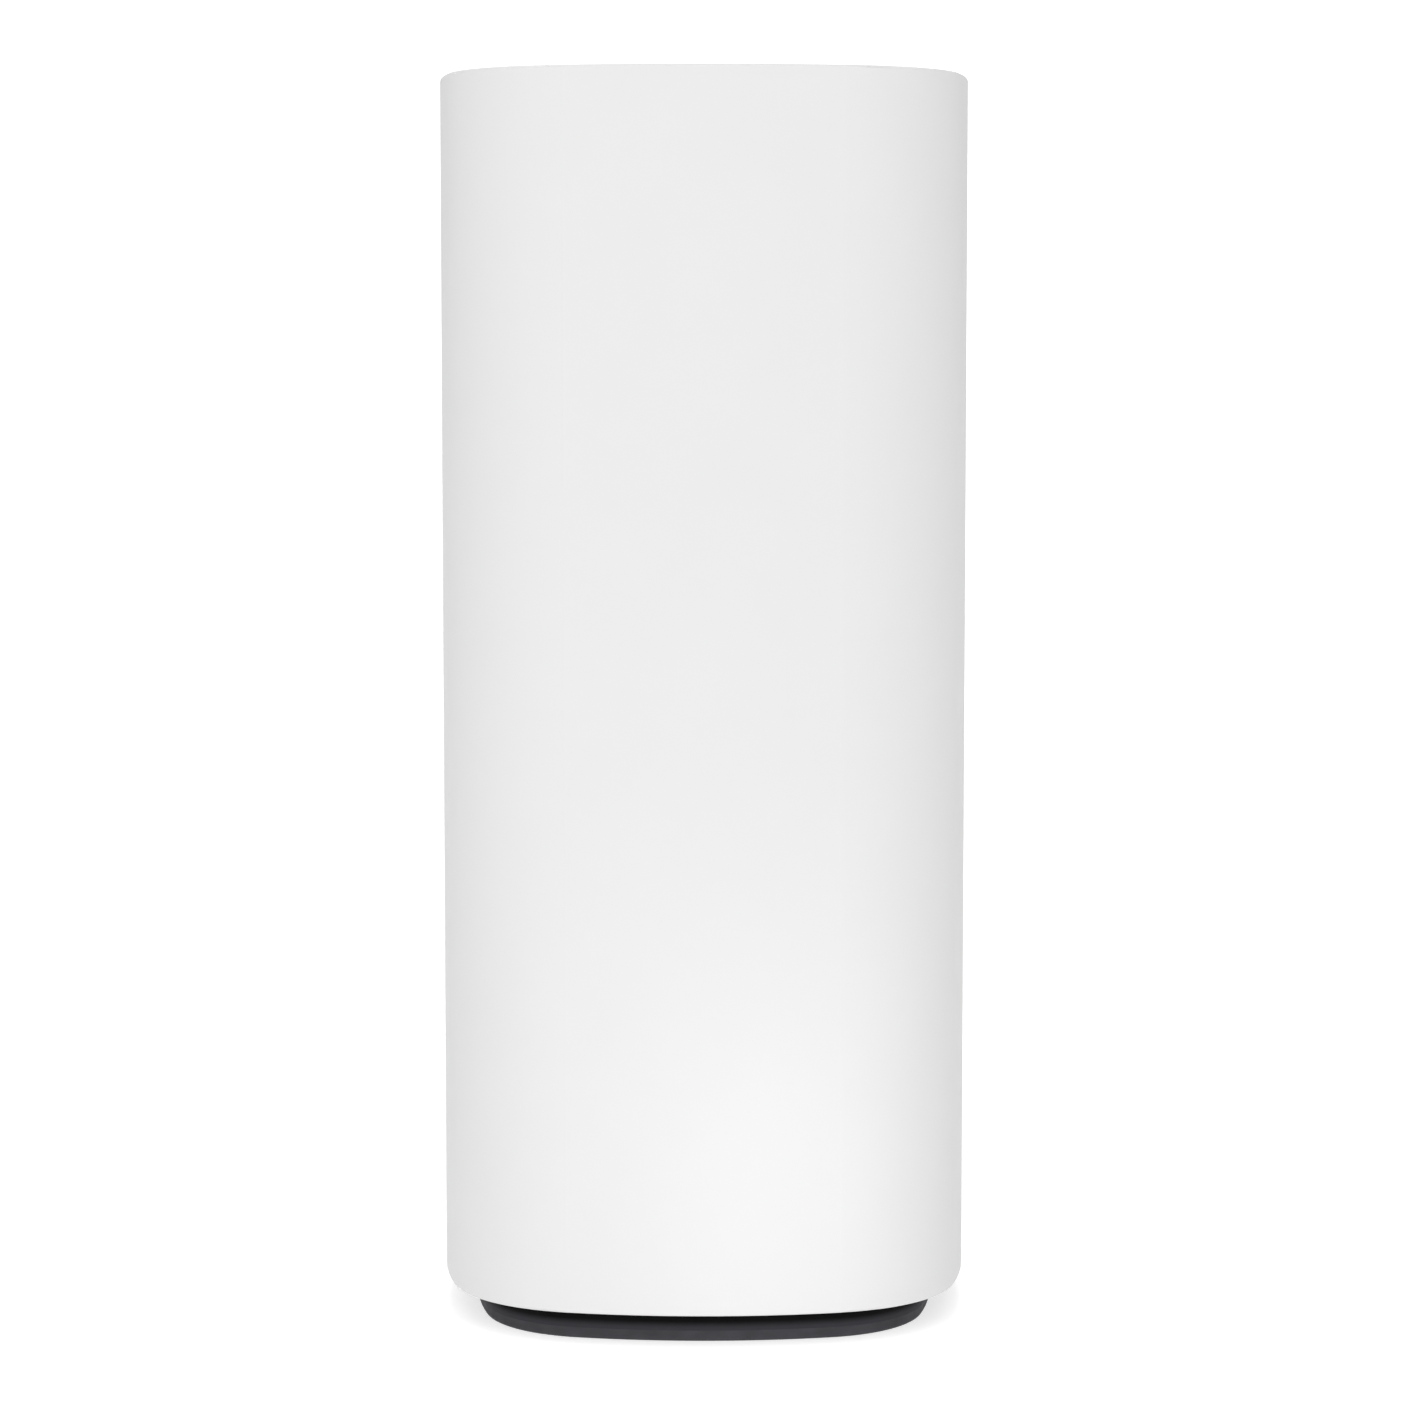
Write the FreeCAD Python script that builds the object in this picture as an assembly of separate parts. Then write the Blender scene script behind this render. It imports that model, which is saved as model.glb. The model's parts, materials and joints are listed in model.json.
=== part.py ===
import FreeCAD, Part
import math
import os

# A tower wireless router, in millimetres.
#
# +Z is up, -Y is the plain front and +Y is the back with the sockets.  The
# origin is the middle of the footprint, on the surface the router stands on.
#
# A one-piece sleeve slides down over a cage: a lower and an upper carrier held
# apart by four corner posts.  The main board stands upright in the cage with a
# heatsink on each side.  Its rear edge carries the sockets, and the antennas
# sit on the outsides of the posts.  The rear bezel fills a slot in the sleeve
# that is open at the bottom, so that the sleeve can slide past it.

Vector = FreeCAD.Vector

# ---------------------------------------------------------------- plan and height
HALF_WIDTH = 47.5          # the plan is as deep as it is wide
SIDE_RADIUS = 107.4        # the long arcs of the four sides
CORNER_RADIUS = 27.6       # the four corner arcs
HEIGHT = 221.4

# The four sides are arcs about (-REACH, 0) and its three turned copies.  The
# corner arcs about (CORNER_CENTRE, CORNER_CENTRE) meet them with a common
# tangent at SIDE_ANGLE.
REACH = SIDE_RADIUS - HALF_WIDTH
ARC_STEP = SIDE_RADIUS - CORNER_RADIUS
CORNER_CENTRE = (math.sqrt(2 * ARC_STEP ** 2 - REACH ** 2) - REACH) / 2
SIDE_ANGLE = math.atan2(CORNER_CENTRE, CORNER_CENTRE + REACH)
DIAGONAL = math.sqrt(0.5)

# ---------------------------------------------------------------- sleeve and cap
SLEEVE_BOTTOM = 5.9
SLEEVE_WALL = 2.2
RIM_ROUNDING = 0.5
HEM_ROUNDING = 0.4
LEDGE_Z = 211.0
LEDGE_THICKNESS = 2.0
LEDGE_TOP = LEDGE_Z + LEDGE_THICKNESS
LEDGE_INSET = 5.5
CAP_TOP = 219.0
CAP_THICKNESS = 3.0
CAP_BOTTOM = CAP_TOP - CAP_THICKNESS
CAP_GAP = 0.2
CAP_DISH_DEPTH = 1.4
VENT_COUNT = 64
VENT_INSET = (7.0, 15.0)
VENT_WIDTH = 1.8
LIGHT_Y = -27.0
LIGHT_RADIUS = 1.3

# ---------------------------------------------------------------- base
FOOT_THICKNESS = 2.0
FOOT_RING_WIDTH = 4.2
FOOT_ROUNDING = 0.8
BASE_INSET = 5.8           # the base stands this far inside the sleeve's outline
GROOVE_INSET = BASE_INSET + 1.3
GROOVE_WIDTH = 1.6
GROOVE_DEPTH = 1.1
TRAY_FLOOR_TOP = 4.5
TRAY_WALL = 2.2
TRAY_TOP = 9.0
CENTRING_RIBS = 8

# ---------------------------------------------------------------- cage
CARRIER_INSET = 6.5
CARRIER_RING_WIDTH = 6.5
CARRIER_THICKNESS = 3.0
LOWER_CARRIER_Z = 14.0
UPPER_CARRIER_Z = 203.0
POST_RADIAL = 42.0         # from the centre line to a post's inner face
POST_THICKNESS = 2.5
POST_WIDTH = 14.0
BOSS_RADIAL = 39.0
BOSS_RADIUS = 4.2
BOSS_DEPTH = 12.0

# ---------------------------------------------------------------- board
BOARD_FACE = -6.6          # the side of the board that carries the sockets
BOARD_THICKNESS = 1.6
BOARD_BACK = BOARD_FACE - BOARD_THICKNESS
BOARD_Y = (-36.0, 36.0)
BOARD_Z = (18.0, 200.0)
LUG_THICKNESS = 4.0
LUG_HALF_WIDTH = 5.0
SHIELD_HEIGHT = 2.6
SHEET = 0.3
PAD_THICKNESS = 1.0
# name: (low y, high y, low z, high z)
SHIELDS_RIGHT = {"processor_shield": (-21, 1, 62, 104), "upper_radio_shield": (-20, 20, 130, 174)}
SHIELDS_LEFT = {"lower_radio_shield": (-20, 20, 46, 90), "middle_radio_shield": (-20, 20, 122, 168)}

# ---------------------------------------------------------------- heatsinks
SINK_PLATE = 3.4
FIN_THICKNESS = 1.5
FIN_PITCH = 6
SINK_Z = (32.0, 188.0)
SINK_STEP_Z = 126.0        # the right heatsink is wider above the sockets
SINK_SPACER_RADIUS = 3.0
SCREWDRIVER_RADIUS = 3.2   # the fins are cut away round each screw

# ---------------------------------------------------------------- rear bezel
BEZEL_HALF_WIDTH = 14.0
BEZEL_BOTTOM = 6.4
BEZEL_ARC_Z = 118.0        # centre of the half-round top end
BEZEL_WALL = 1.6
BEZEL_RECESS = 0.4         # the bezel's rim sits this far inside the sleeve's surface
BEZEL_FLANGE = 3.0
BEZEL_FLANGE_Y = (42.0, 43.4)
PANEL_Y = (36.8, 38.6)     # inner and outer face of the socket panel
SLOT_GAP = 0.15
PANEL_CLEARANCE = 0.2
MARK_X = 9.6
MARK_HEIGHT = 0.25

# ---------------------------------------------------------------- sockets
ROCKER_Z = 19.5
POWER_INLET_Z = 37.5
LAN_Z = (52.0, 66.0, 80.0)
WAN_Z = 98.5
PAIRING_Z = BEZEL_ARC_Z
SOCKET_FACE_Y = 38.4
SOCKET_BACK_Y = 17.7
SOCKET_TOP = 6.8
SOCKET_MARGIN = 8.25       # from an end socket's centre to the end of its housing
PORT_BACK_Y = 26.0
PORT_X = (-4.0, 3.0)
PORT_HALF_WIDTH = 5.95
LATCH_DEPTH = 1.4
LATCH_HALF_WIDTH = 3.2
CONTACT_PITCH = 1.02
CONTACT_THICKNESS = 0.46
INLET_BORE_RADIUS = 3.15
INLET_BORE_BACK_Y = 28.5
INLET_NOSE_RADIUS = 3.85
INLET_NOSE_Y = 38.3
INLET_PIN_RADIUS = 1.0
INLET_PIN_TIP_Y = 37.4
INLET_PIN_ROOT = (25.0, 1.3)   # where the pin's thicker root begins, and its radius

# ---------------------------------------------------------------- switches
ROCKER_PIVOT_Y = 38.0
ROCKER_RADIUS = 6.2
ROCKER_HALF_THICKNESS = 3.8
ROCKER_TILT = 12.0         # each way from level; it rests with its lower end pressed in
ROCKER_TOP_ANGLE = 22.8
ROCKER_CLEARANCE = 0.3
ROCKER_FLANGE = (6.0, 9.0, 1.4)
TRUNNION_RADIUS = 0.75
TRUNNION_REACH = 4.4
TERMINAL_OFFSET = 4.0
BUTTON_X = -3.1
BUTTON_TRAVEL = 0.6
BUTTON_CLEARANCE = 0.3
PAIRING_RADIUS = 3.5
PAIRING_FACE_Y = 39.6
RESET_Y = 2.0
RESET_RADIUS = 1.5
RESET_FLANGE_RADIUS = 2.7
RESET_Z = (2.4, 18.0)
PLUNGER_RADIUS = 1.4
PLUNGER_CLEARANCE = 0.08
PLUNGER_LENGTH = 3.6
TACT_HALF_WIDTH = 3.5
TACT_HEIGHT = 3.5
TACT_TOP_X = 0.4
TACT_GAP = 2.0             # from a tact switch's face to the button's stem

# ---------------------------------------------------------------- screws
SCREW_RADIUS = 1.5
HOLE_RADIUS = 1.7
THREAD_RADIUS = 1.55
HEAD_RADIUS = 2.6
HEAD_HEIGHT = 1.6
BOARD_SCREW_LENGTH = 5.0
HEATSINK_SCREW_TIP_X = -14.4
# (y, z) on the board
HEATSINK_SCREWS = ((-25, 38), (5, 38), (-25, 113), (5, 113), (-25, 182), (23, 182))
LOWER_BOARD_SCREWS = ((-30.0, 22.5), (20.0, 22.5))
UPPER_BOARD_SCREWS = ((-18.0, 196.5), (20.0, 196.5))
BEZEL_SCREWS = ((31.5, 29.5), (31.5, 111.5))

# ---------------------------------------------------------------- antennas
COAX_RADIUS = 0.57
COAX_Y = 33.5              # the coax sockets stand in a row along each board edge
COAX_PLUG_DROP = 14.0      # a plug lies this far below its antenna's feed point
COAX_PLUG_RADIUS = 1.3
WIRE_RADIUS = 0.6
ANTENNA_WIDTH = 12.0
ANTENNA_THICKNESS = 0.8
ANTENNA_HEIGHT = 55.0
ANTENNA_PEGS = (-22.0, 22.0)
PEG_RADIUS = 1.0
COPPER_THICKNESS = 0.05
# name: (left or right, front or back, height of the feed point)
ANTENNAS = {
    "front_left_lower": (-1, -1, 68.0),
    "front_left_upper": (-1, -1, 152.0),
    "front_right_lower": (1, -1, 68.0),
    "front_right_upper": (1, -1, 152.0),
    "rear_left": (-1, 1, 160.0),
    "rear_right": (1, 1, 160.0),
}

SAME = 0.01                # lengths closer than this count as equal
PAST = 1.0                 # how far a cutting tool runs past the face it cuts
SUNK = 0.5                 # how far a joined block is sunk into its neighbour


# ---------------------------------------------------------------- shape helpers
def box(x0, x1, y0, y1, z0, z1):
    return Part.makeBox(x1 - x0, y1 - y0, z1 - z0, Vector(x0, y0, z0))


def rod(base, axis, radius, length):
    return Part.makeCylinder(radius, length, Vector(*base), Vector(*axis))


def tube(base, axis, outer, inner, length):
    return rod(base, axis, outer, length).cut(rod(base, axis, inner, length))


def join(*shapes):
    return shapes[0].multiFuse(list(shapes[1:])).removeSplitter()


def group(shapes):
    """Separate solids that share one node."""
    return Part.makeCompound(list(shapes))


def turned(shape, degrees, axis=(0, 0, 1)):
    copy = shape.copy()
    copy.rotate(Vector(0, 0, 0), Vector(*axis), degrees)
    return copy


def moved(shape, x, y, z):
    shape.translate(Vector(x, y, z))
    return shape


def prism(points, direction):
    """A straight-sided outline, given as 3-D points, pushed along direction."""
    corners = [Vector(*point) for point in points]
    wire = Part.makePolygon(corners + corners[:1])
    return Part.Face(wire).extrude(Vector(*direction))


def rounded(shape, radius, is_wanted):
    """The shape with a fillet on each edge for which is_wanted(edge) holds."""
    return shape.makeFillet(radius, [edge for edge in shape.Edges if is_wanted(edge)])


def lies_at_z(z):
    return lambda edge: abs(edge.BoundBox.ZMin - z) < SAME and abs(edge.BoundBox.ZMax - z) < SAME


def lies_at_y(y):
    return lambda edge: abs(edge.BoundBox.YMin - y) < SAME and abs(edge.BoundBox.YMax - y) < SAME


def lies_at_x(x):
    return lambda edge: abs(edge.BoundBox.XMin - x) < SAME and abs(edge.BoundBox.XMax - x) < SAME


def runs_along_x(edge):
    return edge.BoundBox.YLength < SAME and edge.BoundBox.ZLength < SAME


def runs_along_y(edge):
    return edge.BoundBox.XLength < SAME and edge.BoundBox.ZLength < SAME


def runs_along_z(edge):
    return edge.BoundBox.XLength < SAME and edge.BoundBox.YLength < SAME


def arc(centre, radius, start, end):
    def at(angle):
        return Vector(centre[0] + radius * math.cos(angle), centre[1] + radius * math.sin(angle), 0)

    return Part.Arc(at(start), at((start + end) / 2), at(end)).toShape()


def outline(inset):
    """The router's plan, moved inwards by inset, as a wire at z = 0."""
    edges = []
    for quarter in range(4):
        turn = quarter * math.pi / 2
        side = (-REACH * math.cos(turn), -REACH * math.sin(turn))
        corner_angle = turn + math.pi / 4
        corner_reach = CORNER_CENTRE / DIAGONAL
        corner = (corner_reach * math.cos(corner_angle), corner_reach * math.sin(corner_angle))
        corner_end = turn + math.pi / 2 - SIDE_ANGLE
        edges.append(arc(side, SIDE_RADIUS - inset, turn - SIDE_ANGLE, turn + SIDE_ANGLE))
        edges.append(arc(corner, CORNER_RADIUS - inset, turn + SIDE_ANGLE, corner_end))
    return Part.Wire(edges)


def slab(inset, z0, z1):
    """The plan, moved inwards by inset, from z0 up to z1."""
    face = moved(Part.Face(outline(inset)), 0, 0, z0)
    return face.extrude(Vector(0, 0, z1 - z0))


def ring(outer_inset, inner_inset, z0, z1):
    return slab(outer_inset, z0, z1).cut(slab(inner_inset, z0, z1))


def around_outline(inset, count):
    """count even places along the plan: (x, y, direction of the outward normal in degrees)."""
    side_radius, corner_radius = SIDE_RADIUS - inset, CORNER_RADIUS - inset
    side_length = side_radius * SIDE_ANGLE
    corner_length = corner_radius * (math.pi / 2 - 2 * SIDE_ANGLE)
    quarter_length = 2 * side_length + corner_length
    places = []
    for number in range(count):
        travelled = 4 * quarter_length * (number + 0.5) / count
        quarter, along = divmod(travelled, quarter_length)
        if along < side_length:
            centre, radius, angle = (-REACH, 0), side_radius, along / side_radius
        elif along < side_length + corner_length:
            centre, radius = (CORNER_CENTRE, CORNER_CENTRE), corner_radius
            angle = SIDE_ANGLE + (along - side_length) / corner_radius
        else:
            centre, radius = (0, -REACH), side_radius
            angle = math.pi / 2 - (quarter_length - along) / side_radius
        x = centre[0] + radius * math.cos(angle)
        y = centre[1] + radius * math.sin(angle)
        spot = FreeCAD.Rotation(Vector(0, 0, 1), quarter * 90).multVec(Vector(x, y, 0))
        places.append((spot.x, spot.y, math.degrees(angle) + quarter * 90))
    return places


def on_diagonals(radial):
    """The four points at that distance from the centre line on the diagonals."""
    reach = radial * DIAGONAL
    return [(side * reach, end * reach) for side in (-1, 1) for end in (-1, 1)]


def corner_angle(side, end):
    """The direction of one corner from the centre line, in degrees."""
    return math.degrees(math.atan2(end, side))


def cable(points, radius):
    """A tube along straight runs joined by tangent arcs, as large as the runs allow."""
    corners = [Vector(*point) for point in points]
    edges, start = [], corners[0]
    for before, corner, after in zip(corners, corners[1:], corners[2:]):
        back, ahead = before - corner, after - corner
        setback = 0.45 * min(back.Length, ahead.Length)
        back.normalize()
        ahead.normalize()
        half_turn = (math.pi - back.getAngle(ahead)) / 2
        bend = setback / math.tan(half_turn)
        inward = back + ahead
        inward.normalize()
        middle = corner + inward * (bend / math.cos(half_turn) - bend)
        arc_end = corner + ahead * setback
        edges.append(Part.LineSegment(start, corner + back * setback).toShape())
        edges.append(Part.Arc(corner + back * setback, middle, arc_end).toShape())
        start = arc_end
    edges.append(Part.LineSegment(start, corners[-1]).toShape())
    section = Part.Wire(Part.makeCircle(radius, corners[0], corners[1] - corners[0]))
    return Part.Wire(edges).makePipeShell([section], True, False)


def screw(tip, axis, length):
    """A cross-head screw: axis points from its tip to its head, length is under the head."""
    top = length + HEAD_HEIGHT
    arm, half_slot, depth = 1.5, 0.3, 0.8
    head = rounded(rod((0, 0, length), (0, 0, 1), HEAD_RADIUS, HEAD_HEIGHT), 0.5, lies_at_z(top))
    body = join(rod((0, 0, 0), (0, 0, 1), SCREW_RADIUS, length), head)
    body = body.cut([box(-arm, arm, -half_slot, half_slot, top - depth, top + PAST),
                     box(-half_slot, half_slot, -arm, arm, top - depth, top + PAST)])
    body.Placement = FreeCAD.Placement(Vector(*tip), FreeCAD.Rotation(Vector(0, 0, 1), Vector(*axis)))
    return body


# ---------------------------------------------------------------- housing
def outer_sleeve():
    body = slab(0, SLEEVE_BOTTOM, HEIGHT)
    body = rounded(body, RIM_ROUNDING, lies_at_z(HEIGHT))
    body = rounded(body, HEM_ROUNDING, lies_at_z(SLEEVE_BOTTOM))
    body = body.cut(slab(SLEEVE_WALL, SLEEVE_BOTTOM - PAST, HEIGHT + PAST))
    ledge = ring(SLEEVE_WALL - SUNK, LEDGE_INSET, LEDGE_Z, LEDGE_TOP)
    body = join(body, ledge, sleeve_ears())
    holes = [rod((x, y, LEDGE_Z - PAST), (0, 0, 1), HOLE_RADIUS, LEDGE_THICKNESS + 2 * PAST)
             for x, y in on_diagonals(BOSS_RADIAL)]
    return body.cut(holes + [bezel_outline(BEZEL_HALF_WIDTH + SLOT_GAP, 30, 50, SLEEVE_BOTTOM - PAST)])


def sleeve_ears():
    """The four ears of the ledge that the sleeve's screws hold down."""
    radius = 5.0
    ear = join(box(BOSS_RADIAL, HALF_WIDTH + radius, -radius, radius, LEDGE_Z, LEDGE_TOP),
               rod((BOSS_RADIAL, 0, LEDGE_Z), (0, 0, 1), radius, LEDGE_THICKNESS))
    ears = join(*[turned(ear, 45 + 90 * quarter) for quarter in range(4)])
    return ears.common(slab(SLEEVE_WALL - SUNK, LEDGE_Z, LEDGE_TOP))


def top_cap():
    plate = slab(SLEEVE_WALL + CAP_GAP, CAP_BOTTOM, CAP_TOP)
    plate = rounded(plate, RIM_ROUNDING, lies_at_z(CAP_TOP))
    dish_half = HALF_WIDTH - VENT_INSET[0] + VENT_WIDTH
    dish_radius = (dish_half ** 2 + CAP_DISH_DEPTH ** 2) / (2 * CAP_DISH_DEPTH)
    dish = Part.makeSphere(dish_radius, Vector(0, 0, CAP_TOP - CAP_DISH_DEPTH + dish_radius))
    light_hole = rod((0, LIGHT_Y, CAP_BOTTOM - PAST), (0, 0, 1), LIGHT_RADIUS + 0.1,
                     CAP_THICKNESS + 2 * PAST)
    plate = plate.cut([dish, light_hole] + vent_slots())
    skirt = ring(3.2, 5.0, LEDGE_TOP, CAP_BOTTOM)
    return join(plate, skirt, *[turned(snap_hook(), 90 * quarter) for quarter in range(4)])


def vent_slots():
    half = VENT_WIDTH / 2
    length = VENT_INSET[1] - VENT_INSET[0] - VENT_WIDTH
    low, depth = CAP_BOTTOM - PAST, CAP_THICKNESS + 2 * PAST
    slot = join(box(-length, 0, -half, half, low, low + depth),
                rod((0, 0, low), (0, 0, 1), half, depth),
                rod((-length, 0, low), (0, 0, 1), half, depth))
    places = around_outline(VENT_INSET[0] + half, VENT_COUNT)
    return [moved(turned(slot, angle), x, y, 0) for x, y, angle in places]


def snap_hook():
    """A springy leg of the cap with a barb that catches under the sleeve's ledge."""
    outer = HALF_WIDTH - LEDGE_INSET - 0.4
    barb_x, barb_z = outer + 1.4, LEDGE_Z - 0.2
    leg = box(outer - 1.4, outer, -4, 4, LEDGE_Z - 2, CAP_BOTTOM)
    barb = prism([(outer - 0.2, -4, LEDGE_Z - 2), (barb_x, -4, barb_z - 0.4),
                  (barb_x, -4, barb_z), (outer - 0.2, -4, barb_z)], (0, 8, 0))
    return join(leg, barb)


def bezel_outline(half_width, y0, y1, z0):
    """The bezel's outline, square below and half-round above, from y0 to y1."""
    return join(box(-half_width, half_width, y0, y1, z0, BEZEL_ARC_Z),
                rod((0, y0, BEZEL_ARC_Z), (0, 1, 0), half_width, y1 - y0))


def rear_bezel():
    inner_half = BEZEL_HALF_WIDTH - BEZEL_WALL
    tub = bezel_outline(BEZEL_HALF_WIDTH, PANEL_Y[0], HALF_WIDTH, BEZEL_BOTTOM)
    tub = tub.common(slab(BEZEL_RECESS, 0, HEIGHT))
    tub = tub.cut(bezel_outline(inner_half, PANEL_Y[1], HALF_WIDTH, BEZEL_BOTTOM + BEZEL_WALL))
    flange = bezel_outline(BEZEL_HALF_WIDTH + BEZEL_FLANGE, *BEZEL_FLANGE_Y, TRAY_TOP + 0.5)
    flange = flange.cut(bezel_outline(BEZEL_HALF_WIDTH - SUNK, *BEZEL_FLANGE_Y, 0))
    tabs = [bezel_tab(y, z) for y, z in BEZEL_SCREWS]
    return join(tub, flange, *tabs).cut(panel_windows()).multiFuse(panel_marks()).removeSplitter()


def bezel_tab(y, z):
    """An ear that reaches in behind the board, where a screw holds it."""
    tab = box(BOARD_BACK - LUG_THICKNESS, BOARD_BACK, y - 3.5, PANEL_Y[0] + SUNK,
              z - LUG_HALF_WIDTH, z + LUG_HALF_WIDTH)
    return tab.cut(board_hole(y, z, THREAD_RADIUS))


def panel_windows():
    y, depth = PANEL_Y[0] - PAST, 4.0
    half_width, half_height = 4.85, 7.35
    return [
        box(-half_width, half_width, y, y + depth, ROCKER_Z - half_height, ROCKER_Z + half_height),
        rod((0, y, POWER_INLET_Z), (0, 1, 0), INLET_NOSE_RADIUS + 0.15, depth),
        socket_window(LAN_Z),
        socket_window((WAN_Z,)),
        rod((0, y, PAIRING_Z), (0, 1, 0), PAIRING_RADIUS + BUTTON_CLEARANCE, depth),
    ]


def socket_window(heights):
    margin = SOCKET_MARGIN + PANEL_CLEARANCE
    return box(BOARD_FACE - PANEL_CLEARANCE, SOCKET_TOP + PANEL_CLEARANCE,
               PANEL_Y[0] - PAST, PANEL_Y[1] + PAST, min(heights) - margin, max(heights) + margin)


def panel_marks():
    """Raised marks beside the sockets: one, two and three dots, and a ring for the outside line."""
    y, length, pitch = PANEL_Y[1] - MARK_HEIGHT, 2 * MARK_HEIGHT, 1.8
    marks = [tube((MARK_X, y, WAN_Z), (0, 1, 0), 1.2, 0.75, length)]
    for count, z in enumerate(reversed(LAN_Z), start=1):
        for number in range(count):
            mark_z = z + (number - (count - 1) / 2) * pitch
            marks.append(rod((MARK_X, y, mark_z), (0, 1, 0), 0.5, length))
    return marks


def base_tray():
    tray = slab(BASE_INSET, FOOT_THICKNESS, TRAY_TOP)
    tray = tray.cut(slab(BASE_INSET + TRAY_WALL, TRAY_FLOOR_TOP, TRAY_TOP + PAST))
    columns = [rod((x, y, FOOT_THICKNESS), (0, 0, 1), 5.0, LOWER_CARRIER_Z - FOOT_THICKNESS)
               for x, y in on_diagonals(BOSS_RADIAL)]
    well_radius = RESET_FLANGE_RADIUS + BUTTON_CLEARANCE
    well = rod((BUTTON_X, RESET_Y, FOOT_THICKNESS), (0, 0, 1), well_radius + 1.2, 8.5)
    tray = join(tray, well, *centring_ribs(), *columns)
    for x, y in on_diagonals(BOSS_RADIAL):
        tray = tray.cut([rod((x, y, FOOT_THICKNESS - PAST), (0, 0, 1), HEAD_RADIUS + 0.4, 3.5 + PAST),
                         rod((x, y, FOOT_THICKNESS), (0, 0, 1), HOLE_RADIUS, LOWER_CARRIER_Z)])
    notch_half = BEZEL_HALF_WIDTH + BEZEL_FLANGE + 0.4
    return tray.cut([
        rod((BUTTON_X, RESET_Y, TRAY_FLOOR_TOP), (0, 0, 1), well_radius, 10),
        rod((BUTTON_X, RESET_Y, 0), (0, 0, 1), RESET_RADIUS + BUTTON_CLEARANCE, 10),
        ring(GROOVE_INSET, GROOVE_INSET + GROOVE_WIDTH,
             FOOT_THICKNESS - PAST, FOOT_THICKNESS + GROOVE_DEPTH),
        box(-notch_half, notch_half, 34, 50, BEZEL_BOTTOM - PANEL_CLEARANCE, LOWER_CARRIER_Z),
    ])


def centring_ribs():
    """Short ribs round the base that keep the sleeve's hem at an even distance."""
    reach, half = BASE_INSET - SLEEVE_WALL - 0.15, 1.25
    rib = box(-SUNK, reach, -half, half, SLEEVE_BOTTOM + 1.2, TRAY_TOP)
    places = around_outline(BASE_INSET, CENTRING_RIBS)
    return [moved(turned(rib, angle), x, y, 0) for x, y, angle in places]


def foot_pad():
    pad = rounded(slab(BASE_INSET, 0, FOOT_THICKNESS), FOOT_ROUNDING, lies_at_z(0))
    pad = pad.cut(slab(BASE_INSET + FOOT_RING_WIDTH, -PAST, FOOT_THICKNESS + PAST))
    side_gap = 0.05
    tongue = ring(GROOVE_INSET + side_gap, GROOVE_INSET + GROOVE_WIDTH - side_gap,
                  FOOT_THICKNESS - SUNK, FOOT_THICKNESS + GROOVE_DEPTH - 2 * side_gap)
    return join(pad, tongue)


def blank_label():
    plate = box(-20, 20, -27, -5, FOOT_THICKNESS - 0.15, FOOT_THICKNESS)
    return rounded(plate, 2, runs_along_z)


def status_light_pipe():
    """Takes the light of the LED at the board's top edge, turns it up and ends in the cap."""
    low, high = BOARD_Z[1] + 0.4, UPPER_CARRIER_Z + 0.4
    near, half = BOARD_FACE - 0.4, 1.2
    mirror = 1.5
    arm = prism([(near, LIGHT_Y - half, low), (-0.2, LIGHT_Y - half, low),
                 (LIGHT_RADIUS, LIGHT_Y - half, low + mirror), (LIGHT_RADIUS, LIGHT_Y - half, high),
                 (near + mirror, LIGHT_Y - half, high), (near, LIGHT_Y - half, high - mirror)],
                (0, 2 * half, 0))
    tip = CAP_TOP - CAP_DISH_DEPTH
    stem = rod((0, LIGHT_Y, high - SUNK), (0, 0, 1), LIGHT_RADIUS, tip - high + SUNK)
    return join(arm, rounded(stem, 0.3, lies_at_z(tip)))


# ---------------------------------------------------------------- cage
def carrier(z):
    """A flat frame with a bar beside the board and an eye at each corner."""
    top = z + CARRIER_THICKNESS
    plate = ring(CARRIER_INSET, CARRIER_INSET + CARRIER_RING_WIDTH, z, top)
    bar = box(BOARD_BACK - 6, BOARD_BACK, -38, 38, z, top)
    eyes = [rod((x, y, z), (0, 0, 1), BOSS_RADIUS + 0.8, CARRIER_THICKNESS)
            for x, y in on_diagonals(BOSS_RADIAL)]
    return join(plate, bar, *eyes)


def board_lug(y, hole_z, z0, z1):
    lug = box(BOARD_BACK - LUG_THICKNESS, BOARD_BACK, y - LUG_HALF_WIDTH, y + LUG_HALF_WIDTH, z0, z1)
    return lug.cut(board_hole(y, hole_z, THREAD_RADIUS))


def board_hole(y, z, radius):
    return rod((BOARD_BACK - LUG_THICKNESS - PAST, y, z), (1, 0, 0), radius, 10)


def lower_carrier():
    z, top = LOWER_CARRIER_Z, LOWER_CARRIER_Z + CARRIER_THICKNESS
    lugs = [board_lug(y, hole_z, z + 1, hole_z + 4.5) for y, hole_z in LOWER_BOARD_SCREWS]
    notch_half = BEZEL_HALF_WIDTH + BEZEL_FLANGE + 0.6
    notch = box(-notch_half, notch_half, 26, 50, z - PAST, top + PAST)
    holes = [rod((x, y, z - PAST), (0, 0, 1), HOLE_RADIUS, CARRIER_THICKNESS + 2 * PAST)
             for x, y in on_diagonals(BOSS_RADIAL)]
    return join(carrier(z).cut(notch), *lugs).cut(holes)


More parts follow.
